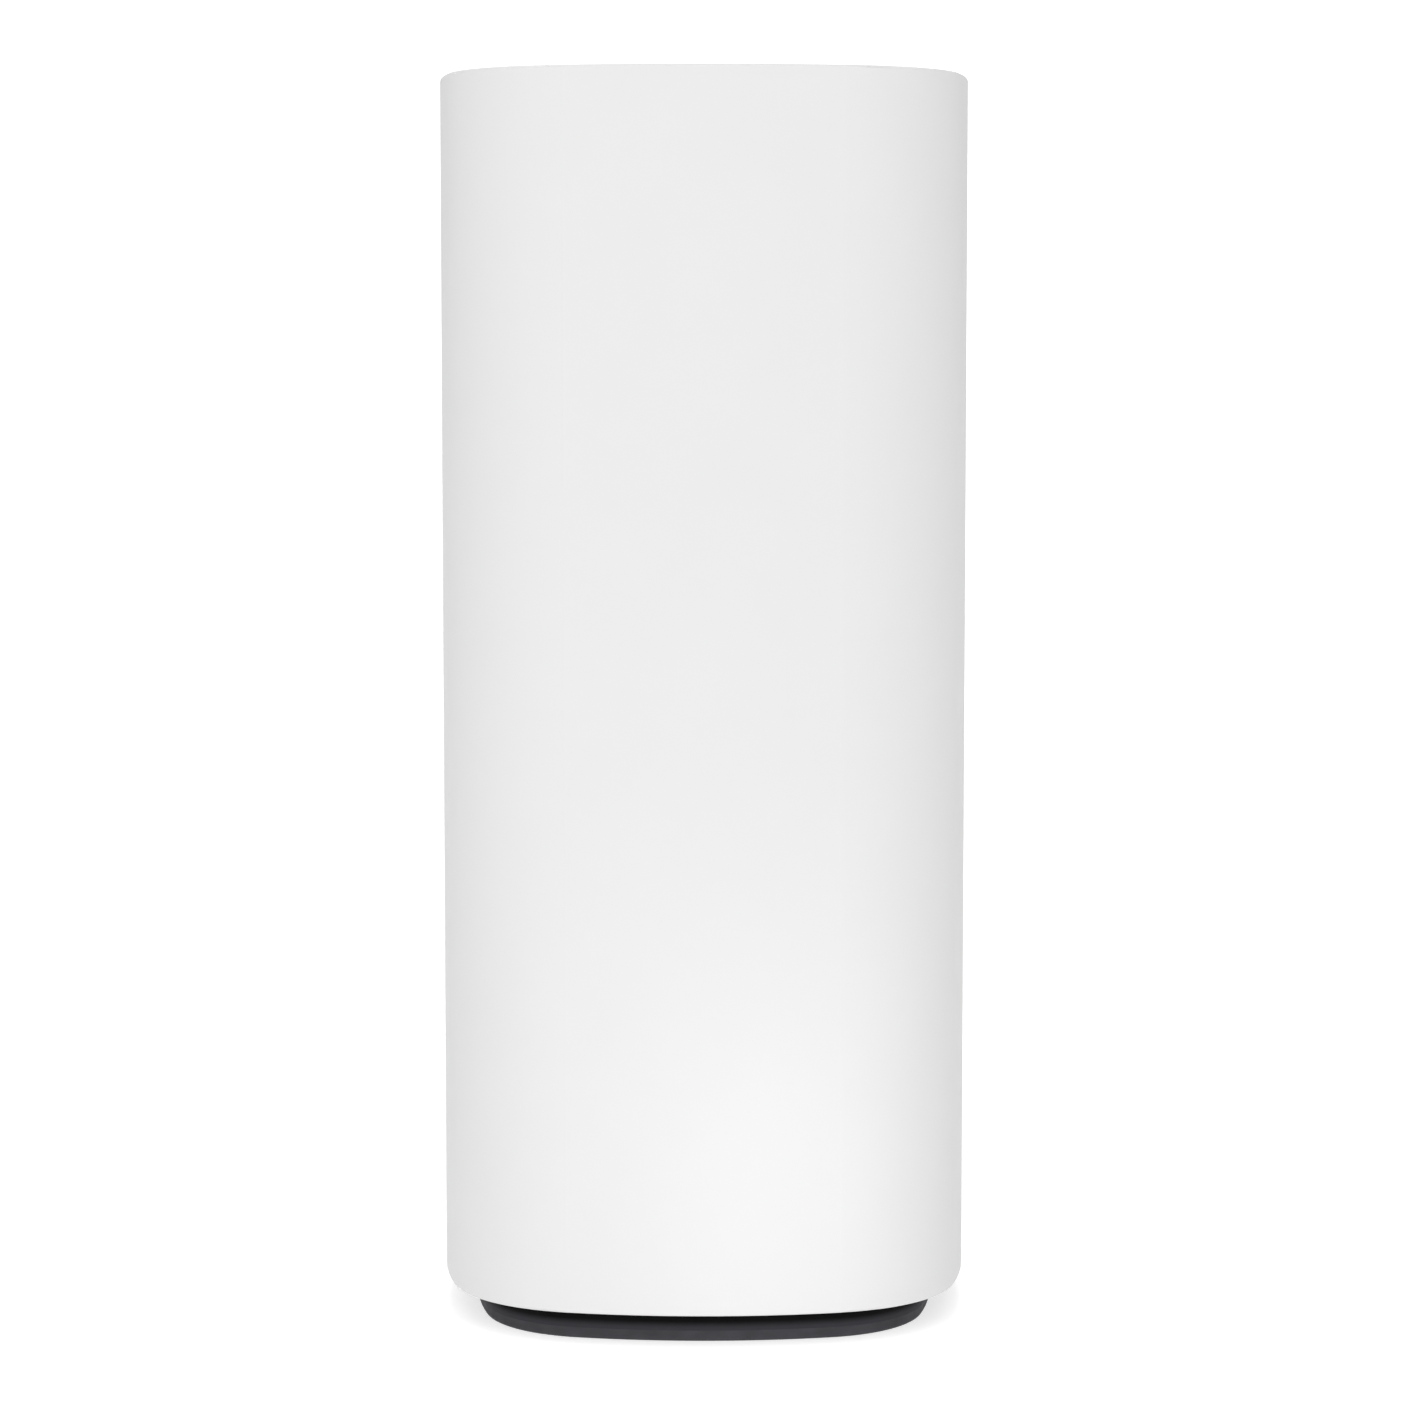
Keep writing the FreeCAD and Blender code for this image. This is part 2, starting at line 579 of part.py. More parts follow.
def upper_carrier():
    z, top = UPPER_CARRIER_Z, UPPER_CARRIER_Z + CARRIER_THICKNESS
    lugs = [board_lug(y, hole_z, hole_z - 4.5, z + 1) for y, hole_z in UPPER_BOARD_SCREWS]
    bosses = [rod((x, y, z), (0, 0, 1), BOSS_RADIUS, LEDGE_Z - z) for x, y in on_diagonals(BOSS_RADIAL)]
    light_tab = box(BOARD_BACK - 1, 3.5, LIGHT_Y - 3.5, LIGHT_Y + 3.5, z + 0.6, top)
    holes = [rod((x, y, z - PAST), (0, 0, 1), HOLE_RADIUS, LEDGE_Z - z + 2 * PAST)
             for x, y in on_diagonals(BOSS_RADIAL)]
    light_hole = rod((0, LIGHT_Y, z - PAST), (0, 0, 1), LIGHT_RADIUS + 0.05, CARRIER_THICKNESS + 2 * PAST)
    return join(carrier(z), light_tab, *lugs, *bosses).cut(holes + [light_hole])


def corner_post(side, end):
    """An upright between the carriers; the antennas sit on pegs on its outer face."""
    z0, z1 = LOWER_CARRIER_Z + CARRIER_THICKNESS, UPPER_CARRIER_Z
    outer = POST_RADIAL + POST_THICKNESS
    plate = box(POST_RADIAL, outer, -POST_WIDTH / 2, POST_WIDTH / 2, z0, z1)
    spine = box(POST_RADIAL - 3, POST_RADIAL + SUNK, -0.9, 0.9, z0, z1)
    bosses = [rod((BOSS_RADIAL, 0, z), (0, 0, 1), BOSS_RADIUS, BOSS_DEPTH) for z in (z0, z1 - BOSS_DEPTH)]
    body = join(plate, spine, *bosses)
    body = body.cut([rod((BOSS_RADIAL, 0, z), (0, 0, 1), THREAD_RADIUS, BOSS_DEPTH - PAST)
                     for z in (z0 - PAST, z1 - BOSS_DEPTH + 2 * PAST)])
    feeds = [feed for *corner, feed in ANTENNAS.values() if corner == [side, end]]
    openings = [box(POST_RADIAL - 4, outer + PAST, -1.6, 1.6, feed - 4, feed + 4) for feed in feeds]
    pegs = [rod((outer - SUNK, 0, feed + offset), (1, 0, 0), PEG_RADIUS, SUNK + 1.3)
            for feed in feeds for offset in ANTENNA_PEGS]
    return turned(join(body.cut(openings), *pegs), corner_angle(side, end))


# ---------------------------------------------------------------- main board
def main_board():
    board = rounded(box(BOARD_BACK, BOARD_FACE, *BOARD_Y, *BOARD_Z), 3, runs_along_x)
    places = HEATSINK_SCREWS + LOWER_BOARD_SCREWS + UPPER_BOARD_SCREWS + BEZEL_SCREWS
    return board.cut([board_hole(y, z, HOLE_RADIUS) for y, z in places])


def right_block(y0, y1, z0, z1, height, base=0.0):
    """A block standing on the board's socket side, from base to height above it."""
    return box(BOARD_FACE + base, BOARD_FACE + height, y0, y1, z0, z1)


def left_block(y0, y1, z0, z1, height, base=0.0):
    """The same on the board's other side."""
    return box(BOARD_BACK - height, BOARD_BACK - base, y0, y1, z0, z1)


def all_shields():
    """(name, place, block function) of each shield can."""
    right = [(name, place, right_block) for name, place in SHIELDS_RIGHT.items()]
    return right + [(name, place, left_block) for name, place in SHIELDS_LEFT.items()]


def shield_can(place, block):
    y0, y1, z0, z1 = place
    hollow = block(y0 + SHEET, y1 - SHEET, z0 + SHEET, z1 - SHEET, SHIELD_HEIGHT - SHEET)
    return block(y0, y1, z0, z1, SHIELD_HEIGHT).cut(hollow)


def processor():
    y0, y1, z0, z1 = SHIELDS_RIGHT["processor_shield"]
    size, margin = 18, 2
    return right_block(y0 + margin, y0 + margin + size, z1 - margin - 1 - size, z1 - margin - 1, 1.4)


def memory_chips():
    y0, y1, z0, z1 = SHIELDS_RIGHT["processor_shield"]
    width, height, margin = 8, 12, 2
    return group([right_block(y, y + width, z0 + margin, z0 + margin + height, 1.0)
                  for y in (y0 + margin, y1 - margin - width)])


def radio_chips():
    half = 6
    chips = []
    for name, (y0, y1, z0, z1), block in all_shields():
        if "radio" in name:
            y, z = (y0 + y1) / 2, (z0 + z1) / 2
            chips.append(block(y - half, y + half, z - half, z + half, 1.4))
    return group(chips)


def front_end_modules():
    """Small amplifier chips around each radio chip."""
    size, margin = 4, 4.5
    chips = []
    for name, (y0, y1, z0, z1), block in all_shields():
        if "radio" in name:
            chips += [block(y, y + size, z, z + size, 0.9)
                      for y in (y0 + margin, y1 - margin - size)
                      for z in (z0 + margin, z1 - margin - size)]
    return group(chips)


def ethernet_transformers():
    return group([right_block(5.5, 14.5, z - 6, z + 6, 3.0) for z in (*LAN_Z, WAN_Z)])


def capacitors():
    height = 9.0
    cans = [rod((BOARD_FACE, y, 25.0), (1, 0, 0), 4.0, height) for y in (-20.0, -10.5)]
    return group([rounded(can, 0.6, lies_at_x(BOARD_FACE + height)) for can in cans])


def inductors():
    return group([rounded(right_block(y, y + 6, 190, 196, 3.2), 1, runs_along_x) for y in (-9, -1, 7)])


def board_side(side):
    """The board face towards that side of the router, and the direction out of it."""
    return (BOARD_FACE, 1) if side > 0 else (BOARD_BACK, -1)


def coax_sockets():
    sockets = []
    for side, end, feed in ANTENNAS.values():
        face, out = board_side(side)
        sockets.append(rod((face, end * COAX_Y, feed - COAX_PLUG_DROP), (out, 0, 0), 0.9, 0.5))
    return group(sockets)


def status_led():
    top = BOARD_Z[1] - 0.2
    return right_block(LIGHT_Y - 1.5, LIGHT_Y + 1.5, top - 1.8, top, 1.6)


# ---------------------------------------------------------------- sockets
def port_hollow(z, y0):
    """The hollow of one network socket, with the step for the plug's latch."""
    x0, x1 = PORT_X
    y1 = SOCKET_FACE_Y + PAST
    mouth = box(x0, x1, y0, y1, z - PORT_HALF_WIDTH, z + PORT_HALF_WIDTH)
    latch = box(x0 - LATCH_DEPTH, x0 + SUNK, y0, y1, z - LATCH_HALF_WIDTH, z + LATCH_HALF_WIDTH)
    return join(mouth, latch)


def jack_block(heights, inset):
    """The outside of a row of sockets, moved inwards by inset except at the board."""
    return box(BOARD_FACE, SOCKET_TOP - inset, SOCKET_BACK_Y + inset, SOCKET_FACE_Y - inset,
               min(heights) - SOCKET_MARGIN + inset, max(heights) + SOCKET_MARGIN - inset)


def network_jack(heights):
    return jack_block(heights, SHEET).cut([port_hollow(z, PORT_BACK_Y) for z in heights])


def jack_shield(heights):
    hollows = [port_hollow(z, SOCKET_FACE_Y - PAST) for z in heights]
    return jack_block(heights, 0).cut([jack_block(heights, SHEET)] + hollows)


def jack_contacts(heights):
    """Eight hairpin spring wires in each socket."""
    root_x, tip_y = PORT_X[1], 37.4
    wires = []
    for z in heights:
        for number in range(8):
            low = z + (number - 3.5) * CONTACT_PITCH - CONTACT_THICKNESS / 2
            bottom = [(root_x, PORT_BACK_Y, low), (root_x, tip_y, low), (root_x - 0.38, tip_y, low),
                      (0.95, 29.6, low), (1.25, 29.45, low), (root_x - 0.3, 36.3, low),
                      (root_x - 0.3, PORT_BACK_Y, low)]
            wires.append(prism(bottom, (0, 0, CONTACT_THICKNESS)))
    return group(wires)


def power_inlet():
    half, back = 4.75, 24.0
    body_face = PANEL_Y[0] - PANEL_CLEARANCE
    body = box(BOARD_FACE, 4.9, back, body_face, POWER_INLET_Z - half, POWER_INLET_Z + half)
    nose_y = body_face - SUNK
    nose = rod((0, nose_y, POWER_INLET_Z), (0, 1, 0), INLET_NOSE_RADIUS, INLET_NOSE_Y - nose_y)
    bore = rod((0, INLET_BORE_BACK_Y, POWER_INLET_Z), (0, 1, 0), INLET_BORE_RADIUS, 12)
    pin_hole = rod((0, back - PAST, POWER_INLET_Z), (0, 1, 0), INLET_PIN_ROOT[1], 8)
    return join(body, nose).cut([bore, pin_hole])


def power_inlet_pin():
    root_y, root_radius = INLET_PIN_ROOT
    root = rod((0, root_y, POWER_INLET_Z), (0, 1, 0), root_radius, INLET_BORE_BACK_Y - root_y)
    pin = rod((0, INLET_BORE_BACK_Y, POWER_INLET_Z), (0, 1, 0), INLET_PIN_RADIUS,
              INLET_PIN_TIP_Y - INLET_BORE_BACK_Y)
    return join(root, rounded(pin, 0.6, lies_at_y(INLET_PIN_TIP_Y)))


# ---------------------------------------------------------------- switches
def rocker_housing():
    half_x, half_z, flange_depth = ROCKER_FLANGE
    flange_face = PANEL_Y[1] + flange_depth
    body = box(-4.7, 4.7, 27.5, PANEL_Y[1] + SUNK, ROCKER_Z - 7.2, ROCKER_Z + 7.2)
    flange = box(-half_x, half_x, PANEL_Y[1], flange_face, ROCKER_Z - half_z, ROCKER_Z + half_z)
    flange = rounded(flange, 1.2, runs_along_y)
    flange = rounded(flange, 0.4, lies_at_y(flange_face))
    hollow_x = ROCKER_HALF_THICKNESS + 0.15
    hollow_z = ROCKER_RADIUS + ROCKER_CLEARANCE
    hollow = box(-hollow_x, hollow_x, 29, 50, ROCKER_Z - hollow_z, ROCKER_Z + hollow_z)
    reach = TRUNNION_REACH + 0.15
    bearings = rod((-reach, ROCKER_PIVOT_Y, ROCKER_Z), (1, 0, 0), TRUNNION_RADIUS + 0.05, 2 * reach)
    return join(body, flange).cut([hollow, bearings, *terminals()])


def terminals():
    """The two flat tabs of the switch, one above the other."""
    return [box(-1.4, 1.4, 22.5, 30.0, z - 0.3, z + 0.3)
            for z in (ROCKER_Z - TERMINAL_OFFSET, ROCKER_Z + TERMINAL_OFFSET)]


def rocker_terminals():
    return group(terminals())


def power_rocker():
    """The paddle: round ends about its pivot, a shallow V in its face and a nub behind."""
    angle = math.radians(ROCKER_TOP_ANGLE)
    end_z, end_y = ROCKER_RADIUS * math.cos(angle), ROCKER_RADIUS * math.sin(angle)
    x, thickness, back = -ROCKER_HALF_THICKNESS, 2 * ROCKER_HALF_THICKNESS, -3.0
    valley = end_y - 0.9
    disc = rod((x, 0, 0), (1, 0, 0), ROCKER_RADIUS, thickness)
    profile = prism([(x, back, -8), (x, end_y, -8), (x, end_y, -end_z), (x, valley, 0), (x, end_y, end_z),
                     (x, end_y, 8), (x, back, 8)], (thickness, 0, 0))
    nub = box(-1.5, 1.5, -6.5, back + SUNK, -1, 1)
    trunnions = rod((-TRUNNION_REACH, 0, 0), (1, 0, 0), TRUNNION_RADIUS, 2 * TRUNNION_REACH)
    line = box(-0.25, 0.25, end_y - 0.75, end_y + PAST, 2.4, 4.4)
    circle = tube((0, end_y - 0.75, -3.4), (0, 1, 0), 1.05, 0.6, 2)
    paddle = join(disc.common(profile), nub, trunnions).cut([line, circle])
    return moved(turned(paddle, -ROCKER_TILT, axis=(1, 0, 0)), 0, ROCKER_PIVOT_Y, ROCKER_Z)


# where the switch's two wires end: (x, z)
WIRE_ENDS = ((-3.6, 22.0), (-3.6, 24.6))


def switch_connector():
    face = 15.0
    shell = right_block(9, face, 20, 27, 5.6)
    return shell.cut([rod((x, face - 1.5, z), (0, 1, 0), WIRE_RADIUS, 3) for x, z in WIRE_ENDS])


def switch_wires():
    wires = []
    for offset, straight, (x, z) in zip((-TERMINAL_OFFSET, TERMINAL_OFFSET), (3.3, 2.5), WIRE_ENDS):
        start_z = ROCKER_Z + offset
        wires.append(cable([(0, 22.5, start_z), (0, 22.5 - straight, start_z),
                            (x, 17.5, z), (x, 13.5, z)], WIRE_RADIUS))
    return group(wires)


def tact_switch(base, axis, body):
    """A tact switch's case, with the well that its plunger slides in."""
    depth = PLUNGER_LENGTH - TACT_GAP + BUTTON_TRAVEL + 0.2
    start = Vector(*base) - Vector(*axis) * depth
    return body.cut(rod(tuple(start), axis, PLUNGER_RADIUS + PLUNGER_CLEARANCE, depth + PAST))


def pairing_stem_y():
    return 27.0 + TACT_HEIGHT + TACT_GAP


def pairing_button():
    back, stem_y = PANEL_Y[0] - 1.4, pairing_stem_y()
    cap = rod((0, back, PAIRING_Z), (0, 1, 0), PAIRING_RADIUS, PAIRING_FACE_Y - back)
    cap = rounded(cap, 0.5, lies_at_y(PAIRING_FACE_Y))
    dish_radius, dish_depth = 12.0, 0.35
    dish = Part.makeSphere(dish_radius, Vector(0, PAIRING_FACE_Y + dish_radius - dish_depth, PAIRING_Z))
    flange = rod((0, back, PAIRING_Z), (0, 1, 0), PAIRING_RADIUS + 1.3, 1.2)
    stem = rod((BUTTON_X, stem_y, PAIRING_Z), (0, 1, 0), 1.6, back - stem_y + SUNK)
    return join(cap.cut(dish), flange, stem)


def pairing_switch():
    y1 = pairing_stem_y() - TACT_GAP
    body = box(BOARD_FACE, TACT_TOP_X, y1 - TACT_HEIGHT, y1,
               PAIRING_Z - TACT_HALF_WIDTH, PAIRING_Z + TACT_HALF_WIDTH)
    return tact_switch((BUTTON_X, y1, PAIRING_Z), (0, 1, 0), body)


def pairing_plunger():
    y1 = pairing_stem_y()
    return rod((BUTTON_X, y1 - PLUNGER_LENGTH, PAIRING_Z), (0, 1, 0), PLUNGER_RADIUS, PLUNGER_LENGTH)


def reset_button():
    z0, z1 = RESET_Z
    pin = rod((BUTTON_X, RESET_Y, z0), (0, 0, 1), RESET_RADIUS, z1 - z0)
    flange = rod((BUTTON_X, RESET_Y, TRAY_FLOOR_TOP + BUTTON_CLEARANCE), (0, 0, 1),
                 RESET_FLANGE_RADIUS, 1.2)
    return join(rounded(pin, 0.3, lies_at_z(z0)), flange)


def reset_switch():
    z0 = RESET_Z[1] + TACT_GAP
    body = box(BOARD_FACE, TACT_TOP_X, RESET_Y - TACT_HALF_WIDTH, RESET_Y + TACT_HALF_WIDTH,
               z0, z0 + TACT_HEIGHT)
    return tact_switch((BUTTON_X, RESET_Y, z0), (0, 0, -1), body)


def reset_plunger():
    return rod((BUTTON_X, RESET_Y, RESET_Z[1]), (0, 0, 1), PLUNGER_RADIUS, PLUNGER_LENGTH)


# ---------------------------------------------------------------- cooling
def fins(x0, x1, first, last, z0, z1, reach_inset):
    """Upright fins from y = first to y = last, cut to the router's plan moved inwards."""
    half = FIN_THICKNESS / 2
    blades = [box(x0, x1, y - half, y + half, z0, z1) for y in range(first, last + 1, FIN_PITCH)]
    limit = slab(reach_inset, z0, z1)
    return [blade.common(limit) for blade in blades]


def right_heatsink():
    near = BOARD_FACE + SHIELD_HEIGHT + PAD_THICKNESS
    far = near + SINK_PLATE
    z0, z1 = SINK_Z
    plate = join(box(near, far, -29, 14, z0, z1), box(near, far, 13, 29, SINK_STEP_Z, z1))
    inset = 18
    blades = fins(far - SUNK, HALF_WIDTH, -28, 8, z0, z1, inset)
    blades += fins(far - SUNK, HALF_WIDTH, 14, 26, SINK_STEP_Z, z1, inset)
    spacers = [rod((BOARD_FACE, y, z), (1, 0, 0), SINK_SPACER_RADIUS, near - BOARD_FACE + SUNK)
               for y, z in HEATSINK_SCREWS]
    holes = [rod((BOARD_FACE - PAST, y, z), (1, 0, 0), HOLE_RADIUS, 10) for y, z in HEATSINK_SCREWS]
    access = [rod((far, y, z), (1, 0, 0), SCREWDRIVER_RADIUS, HALF_WIDTH) for y, z in HEATSINK_SCREWS]
    return join(plate, *blades, *spacers).cut(holes + access)


def left_heatsink():
    near = BOARD_BACK - SHIELD_HEIGHT - PAD_THICKNESS
    far = near - SINK_PLATE
    z0, z1 = SINK_Z
    plate = box(far, near, -28.5, 27, z0, z1)
    blades = fins(-HALF_WIDTH, far + SUNK, -26, 26, z0, z1, 14)
    spacers = [rod((BOARD_BACK, y, z), (-1, 0, 0), SINK_SPACER_RADIUS, BOARD_BACK - near + SUNK)
               for y, z in HEATSINK_SCREWS]
    depth = BOARD_BACK - HEATSINK_SCREW_TIP_X + PAST + 0.4
    holes = [rod((BOARD_BACK + PAST, y, z), (-1, 0, 0), THREAD_RADIUS, depth) for y, z in HEATSINK_SCREWS]
    return join(plate, *blades, *spacers).cut(holes)


def thermal_pads():
    margin = 1
    return group([block(y0 + margin, y1 - margin, z0 + margin, z1 - margin,
                        SHIELD_HEIGHT + PAD_THICKNESS, SHIELD_HEIGHT)
                  for name, (y0, y1, z0, z1), block in all_shields()])


# ---------------------------------------------------------------- antennas
def antenna_boards():
    face = POST_RADIAL + POST_THICKNESS
    boards = []
    for side, end, feed in ANTENNAS.values():
        board = box(face, face + ANTENNA_THICKNESS, -ANTENNA_WIDTH / 2, ANTENNA_WIDTH / 2,
                    feed - ANTENNA_HEIGHT / 2, feed + ANTENNA_HEIGHT / 2)
        board = rounded(board, 1.5, runs_along_x)
        board = board.cut([rod((face - PAST, 0, feed + offset), (1, 0, 0), PEG_RADIUS + 0.05, 4)
                           for offset in ANTENNA_PEGS])
        boards.append(turned(board, corner_angle(side, end)))
    return group(boards)


def antenna_coppers():
    """The printed arms on the outer face of each antenna board, above and below its feed point."""
    face = POST_RADIAL + POST_THICKNESS + ANTENNA_THICKNESS
    gap, arm, half = 1, 17, 1
    top = face + COPPER_THICKNESS
    arms = []
    for side, end, feed in ANTENNAS.values():
        upper = join(box(face, top, -half, half, gap, arm),
                     box(face, top, -4, 4, arm - 2 * half, arm))
        for shape in (upper, turned(upper, 180, axis=(1, 0, 0))):
            arms.append(turned(moved(shape, 0, 0, feed), corner_angle(side, end)))
    return group(arms)


def antenna_lead(side, end, feed):
    """A coax lead from the back of an antenna, through its post, to a plug on the board."""
    face, out = board_side(side)
    lane = face + out * 1.3
    start = (POST_RADIAL + POST_THICKNESS) * DIAGONAL
    inner = (POST_RADIAL - 1.5) * DIAGONAL
    plug_z = feed - COAX_PLUG_DROP
    lead = cable([(side * start, end * start, feed), (side * inner, end * inner, feed),
                  (lane, end * COAX_Y, feed), (lane, end * COAX_Y, plug_z)], COAX_RADIUS)
    plug = rod((face + out * 0.5, end * COAX_Y, plug_z), (out, 0, 0), COAX_PLUG_RADIUS, 1.4)
    return join(lead, plug)


def antenna_leads():
    return group([antenna_lead(*place) for place in ANTENNAS.values()])


# ---------------------------------------------------------------- fasteners
def base_screws():
    tip_z, seat_z = 25.5, FOOT_THICKNESS + 3.5
    return group([screw((x, y, tip_z), (0, 0, -1), tip_z - seat_z) for x, y in on_diagonals(BOSS_RADIAL)])


def sleeve_screws():
    tip_z = UPPER_CARRIER_Z - 9.5
    return group([screw((x, y, tip_z), (0, 0, 1), LEDGE_TOP - tip_z) for x, y in on_diagonals(BOSS_RADIAL)])


def short_screws(places):
    tip_x = BOARD_FACE - BOARD_SCREW_LENGTH
    return group([screw((tip_x, y, z), (1, 0, 0), BOARD_SCREW_LENGTH) for y, z in places])


def board_screws():
    return short_screws(LOWER_BOARD_SCREWS + UPPER_BOARD_SCREWS)


def bezel_screws():
    return short_screws(BEZEL_SCREWS)


def heatsink_screws():
    seat_x = BOARD_FACE + SHIELD_HEIGHT + PAD_THICKNESS + SINK_PLATE
    length = seat_x - HEATSINK_SCREW_TIP_X
    return group([screw((HEATSINK_SCREW_TIP_X, y, z), (1, 0, 0), length) for y, z in HEATSINK_SCREWS])


# ---------------------------------------------------------------- nodes
SINGLE_NODES = (
    outer_sleeve, top_cap, rear_bezel, base_tray, foot_pad, blank_label, status_light_pipe,
    lower_carrier, upper_carrier, main_board, processor, memory_chips, radio_chips,
    front_end_modules, ethernet_transformers, capacitors, inductors, coax_sockets, status_led,
    power_inlet, power_inlet_pin, rocker_housing, rocker_terminals, power_rocker,
    switch_connector, switch_wires, pairing_button, pairing_switch, pairing_plunger,
    reset_button, reset_switch, reset_plunger, right_heatsink, left_heatsink, thermal_pads,
    antenna_boards, antenna_coppers, antenna_leads,
    base_screws, sleeve_screws, board_screws, bezel_screws, heatsink_screws,
)
POSTS = {"front_left": (-1, -1), "front_right": (1, -1), "rear_left": (-1, 1), "rear_right": (1, 1)}
JACKS = {"wan": (WAN_Z,), "lan": LAN_Z}


def all_nodes():
    nodes = {build.__name__: build() for build in SINGLE_NODES}
    for name, place, block in all_shields():
        nodes[name] = shield_can(place, block)
    for name, heights in JACKS.items():
        nodes[name + "_jack"] = network_jack(heights)
        nodes[name + "_jack_shield"] = jack_shield(heights)
        nodes[name + "_jack_contacts"] = jack_contacts(heights)
    for name, (side, end) in POSTS.items():
        nodes["post_" + name] = corner_post(side, end)
    return nodes


def main():
    os.makedirs("parts", exist_ok=True)
    for name, shape in all_nodes().items():
        state = "" if shape.isValid() else "NOT VALID"
        shape.exportStep(os.path.join("parts", name + ".step"))
        print(name, len(shape.Solids), "solid(s)", round(shape.Volume / 1000, 2), "cm3", state)


main()
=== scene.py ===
import json
import math

import bmesh
import bpy
from mathutils import Matrix, Vector


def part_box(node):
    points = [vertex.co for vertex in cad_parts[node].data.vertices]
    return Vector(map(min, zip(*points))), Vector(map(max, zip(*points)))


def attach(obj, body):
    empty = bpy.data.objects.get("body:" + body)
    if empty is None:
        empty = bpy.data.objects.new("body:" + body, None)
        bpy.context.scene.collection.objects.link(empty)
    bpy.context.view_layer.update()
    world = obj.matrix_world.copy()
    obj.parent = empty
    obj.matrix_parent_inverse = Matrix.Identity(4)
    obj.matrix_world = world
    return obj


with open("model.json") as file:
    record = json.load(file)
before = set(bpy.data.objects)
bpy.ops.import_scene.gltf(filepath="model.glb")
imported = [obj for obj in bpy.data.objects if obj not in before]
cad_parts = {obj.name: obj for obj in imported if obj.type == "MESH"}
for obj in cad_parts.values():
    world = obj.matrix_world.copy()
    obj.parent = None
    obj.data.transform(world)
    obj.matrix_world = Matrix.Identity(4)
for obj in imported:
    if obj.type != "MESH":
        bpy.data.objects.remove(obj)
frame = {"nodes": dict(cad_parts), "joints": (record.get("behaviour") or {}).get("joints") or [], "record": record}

# The router's looks: a camera, a pale floor and soft light, a procedural
# material for every slot of the record, and the small printed and moulded
# details that ride on the CAD bodies.  Lengths are in metres.

MM = 0.001
NOISE_LOW, NOISE_HIGH = 0.3, 0.7      # nearly all of a noise texture lies between these
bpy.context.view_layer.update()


# ---------------------------------------------------------------- node helpers
def new_material(name, colour, roughness, metallic=0.0, specular=0.5):
    """A material with a Principled shader; what is even over the surface is set here."""
    material = bpy.data.materials.new(name)
    material.use_nodes = True
    shader = material.node_tree.nodes["Principled BSDF"]
    shader.inputs["Base Color"].default_value = (*colour, 1.0)
    shader.inputs["Roughness"].default_value = roughness
    shader.inputs["Metallic"].default_value = metallic
    shader.inputs["Specular IOR Level"].default_value = specular
    return material


def shader_input(material, name):
    return material.node_tree.nodes["Principled BSDF"].inputs[name]


def link(material, output, socket):
    material.node_tree.links.new(output, socket)


def add_node(material, kind, **values):
    """A new node; each value goes to the input of that name, with an underscore for a space."""
    node = material.node_tree.nodes.new(kind)
    for name, value in values.items():
        node.inputs[name.replace("_", " ")].default_value = value
    return node


def noise(material, feature, detail=2.0, stretch=(1.0, 1.0, 1.0)):
    """Noise whose blotches are about feature metres across, longer along an axis with a small stretch."""
    coordinates = add_node(material, "ShaderNodeTexCoord")
    mapping = add_node(material, "ShaderNodeMapping", Scale=stretch)
    texture = add_node(material, "ShaderNodeTexNoise", Scale=1.0 / feature, Detail=detail)
    link(material, coordinates.outputs["Object"], mapping.inputs["Vector"])
    link(material, mapping.outputs["Vector"], texture.inputs["Vector"])
    return texture.outputs["Fac"]


def spread(material, factor, low, high):
    """The middle of a noise's range stretched to run from low to high."""
    node = add_node(material, "ShaderNodeMapRange", From_Min=NOISE_LOW, From_Max=NOISE_HIGH,
                    To_Min=low, To_Max=high)
    link(material, factor, node.inputs["Value"])
    return node.outputs["Result"]


def vary_roughness(material, feature, low, high):
    patches = spread(material, noise(material, feature), low, high)
    link(material, patches, shader_input(material, "Roughness"))


def vary_colour(material, factor, first, second, start=NOISE_LOW, stop=NOISE_HIGH):
    """The base colour runs from first, where the factor is start, to second, where it is stop."""
    ramp = material.node_tree.nodes.new("ShaderNodeValToRGB")
    ramp.color_ramp.elements[0].position = start
    ramp.color_ramp.elements[0].color = (*first, 1.0)
    ramp.color_ramp.elements[1].position = stop
    ramp.color_ramp.elements[1].color = (*second, 1.0)
    link(material, factor, ramp.inputs["Fac"])
    link(material, ramp.outputs["Color"], shader_input(material, "Base Color"))


def add_bump(material, height, depth, below=None):
    """Bump of that depth in metres, on top of another bump if one is given."""
    bump = add_node(material, "ShaderNodeBump", Strength=1.0, Distance=depth)
    link(material, height, bump.inputs["Height"])
    if below is not None:
        link(material, below, bump.inputs["Normal"])
    link(material, bump.outputs["Normal"], shader_input(material, "Normal"))
    return bump.outputs["Normal"]


def scaled(colour, factor):
    return tuple(channel * factor for channel in colour)


# ---------------------------------------------------------------- materials
def darken_upwards(material, colour, low, high):
    """Painted shade under an overhang, by height: full colour up to low, nearly black from high upwards."""
    darkest = scaled(colour, 0.06)
    coordinates = add_node(material, "ShaderNodeTexCoord")
    height = add_node(material, "ShaderNodeSeparateXYZ")
    fade = add_node(material, "ShaderNodeMapRange", From_Min=low, From_Max=high)
    fade.interpolation_type = "SMOOTHSTEP"
    link(material, coordinates.outputs["Object"], height.inputs["Vector"])
    link(material, height.outputs["Z"], fade.inputs["Value"])
    vary_colour(material, fade.outputs["Result"], colour, darkest, start=0.0, stop=1.0)


